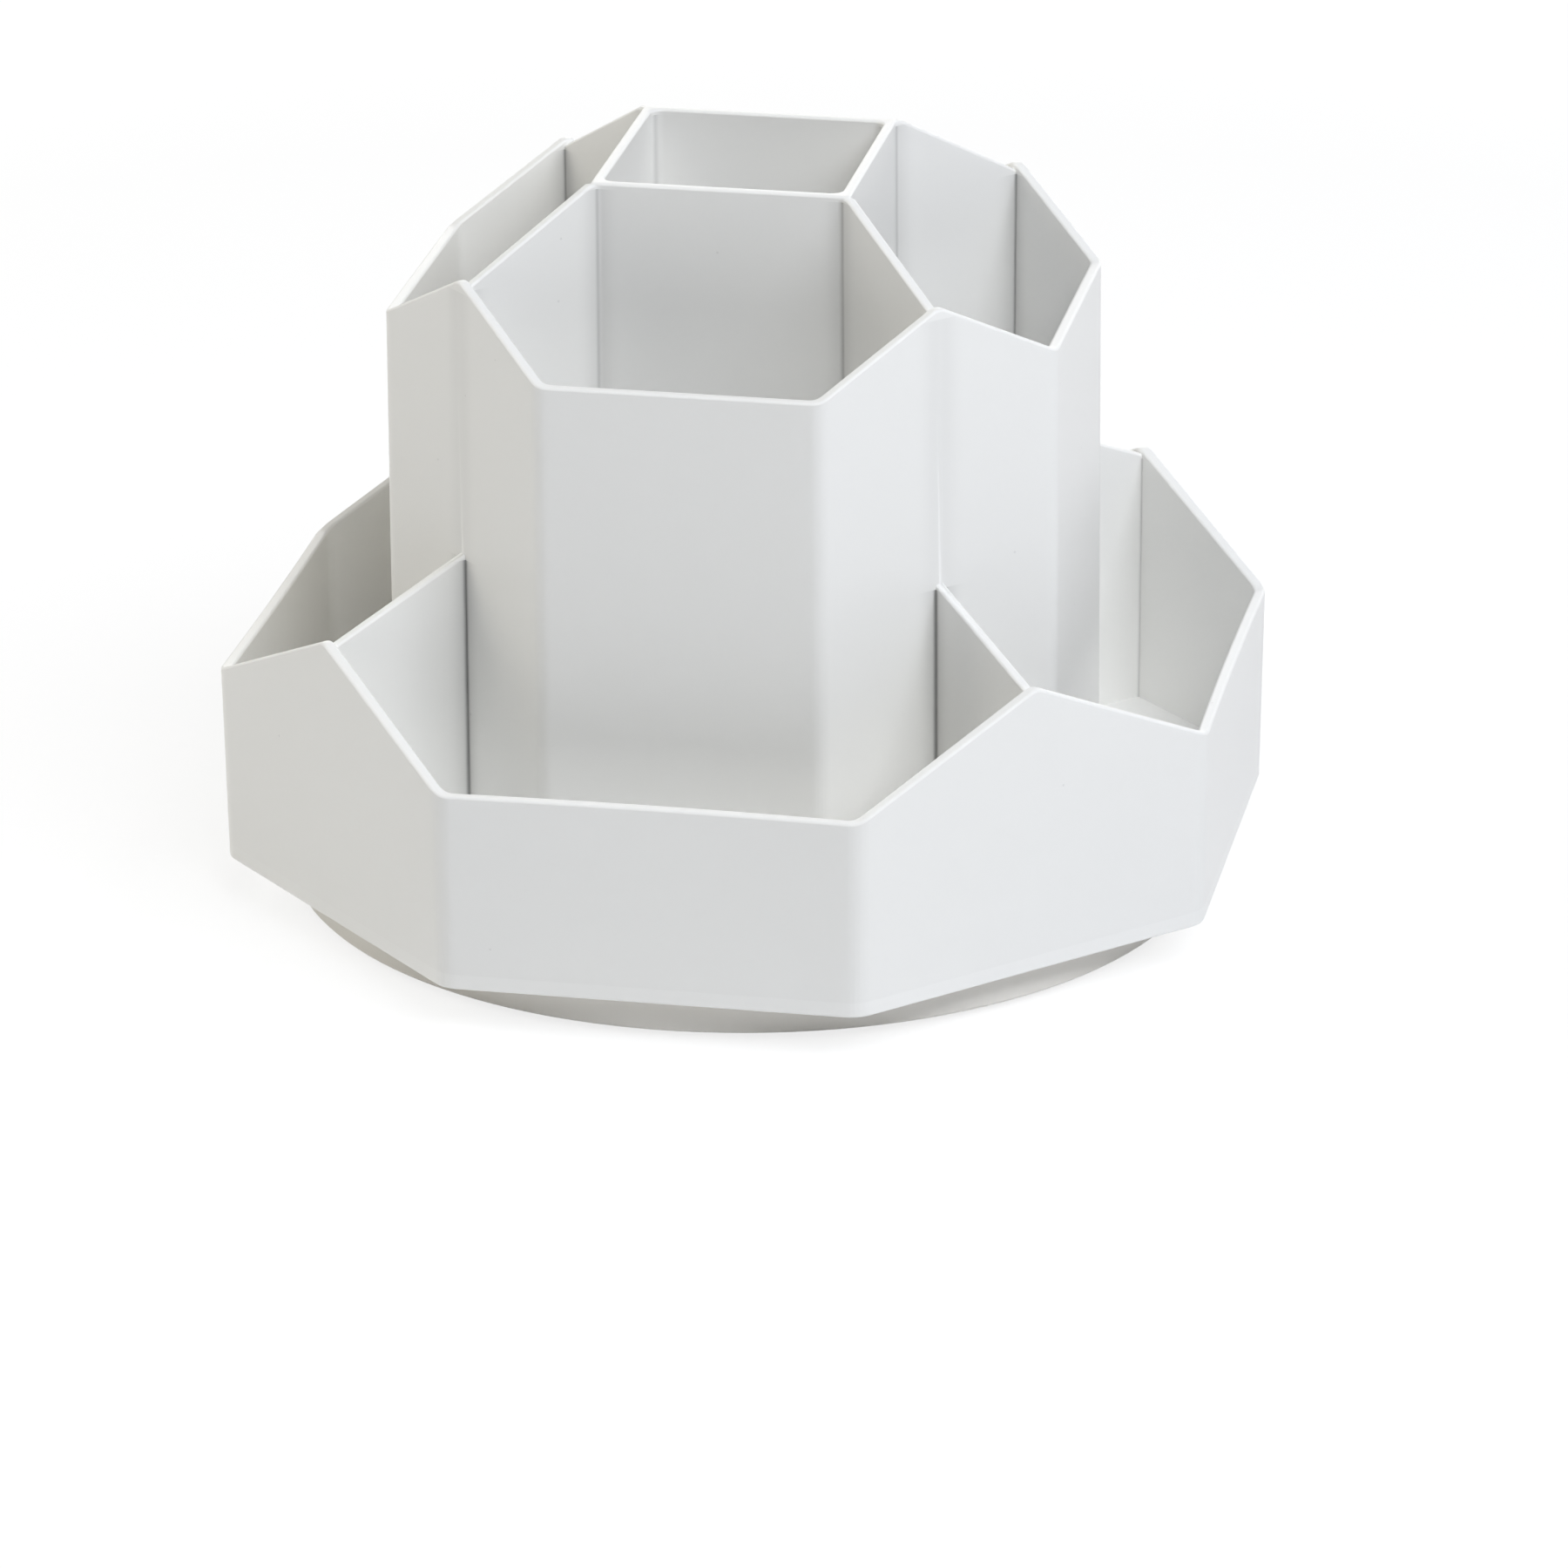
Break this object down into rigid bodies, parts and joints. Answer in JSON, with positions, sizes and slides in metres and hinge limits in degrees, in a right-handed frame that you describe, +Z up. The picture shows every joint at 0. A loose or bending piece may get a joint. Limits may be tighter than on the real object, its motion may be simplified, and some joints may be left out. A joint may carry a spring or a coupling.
{
  "type": "rotating desk organizer",
  "caption": "Octagonal desk organizer tray with sloped rims round a taller divided tower and a square pen cell, turning on a round ball-bearing base.",
  "frame": {"origin": "on the desk, at the centre of the bounding box's bottom face, under the spin axis", "axes": "+Z up along the spin axis; X and Y square to the straight walls, with -Y the front"},
  "size_m": [0.165, 0.165, 0.1249],
  "materials": {
    "body_plastic": "satin light grey, as moulded",
    "base_plastic": "satin light grey, as moulded",
    "cage_plastic": "natural white",
    "ball_steel": "polished",
    "washer_steel": "zinc plated",
    "screw_steel": "zinc plated",
    "pad_rubber": "matte"
  },
  "bodies": {
    "base": {"base_disc": "base_plastic", "foot_pad_front_left": "pad_rubber", "foot_pad_front_right": "pad_rubber", "foot_pad_back_left": "pad_rubber", "foot_pad_back_right": "pad_rubber"},
    "organizer": {"organizer_body": "body_plastic", "pivot_washer": "washer_steel", "pivot_screw": "screw_steel"},
    "ball_ring": {"ball_cage": "cage_plastic", "bearing_ball_01": "ball_steel", "bearing_ball_02": "ball_steel", "bearing_ball_03": "ball_steel", "bearing_ball_04": "ball_steel", "bearing_ball_05": "ball_steel", "bearing_ball_06": "ball_steel", "bearing_ball_07": "ball_steel", "bearing_ball_08": "ball_steel", "bearing_ball_09": "ball_steel", "bearing_ball_10": "ball_steel", "bearing_ball_11": "ball_steel", "bearing_ball_12": "ball_steel"}
  },
  "joints": [
    {"name": "organizer_spin", "type": "hinge", "parent": "base", "child": "organizer", "pos_m": [0, 0, 0.0054], "axis": [0, 0, 1], "continuous": true},
    {"name": "ball_ring_spin", "type": "hinge", "parent": "base", "child": "ball_ring", "pos_m": [0, 0, 0.0054], "axis": [0, 0, 1], "continuous": true}
  ],
  "couplings": [
    {"joint": "ball_ring_spin", "follows": "organizer_spin", "ratio": 0.5}
  ]
}
